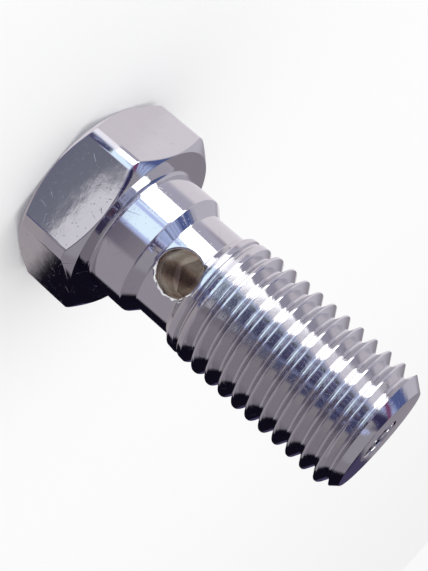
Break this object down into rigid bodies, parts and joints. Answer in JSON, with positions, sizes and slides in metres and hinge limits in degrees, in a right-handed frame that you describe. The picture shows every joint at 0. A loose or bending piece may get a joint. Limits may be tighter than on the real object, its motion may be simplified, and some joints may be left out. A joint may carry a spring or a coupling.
{
  "type": "banjo bolt",
  "caption": "Hex-headed hollow bolt with a collar, a cross-drilled neck and a threaded shank, for clamping a ring-shaped pipe union.",
  "frame": {"origin": "centre of the bearing face under the head", "axes": "+Z along the shank towards the tip; the cross hole opens towards -Y, in line with the middle of one hex flat"},
  "size_m": [0.0158, 0.014, 0.0281],
  "materials": {
    "chrome_plate": "bright plated, lightly scratched"
  },
  "bodies": {
    "root": {"banjo_bolt": "chrome_plate"}
  },
  "joints": []
}
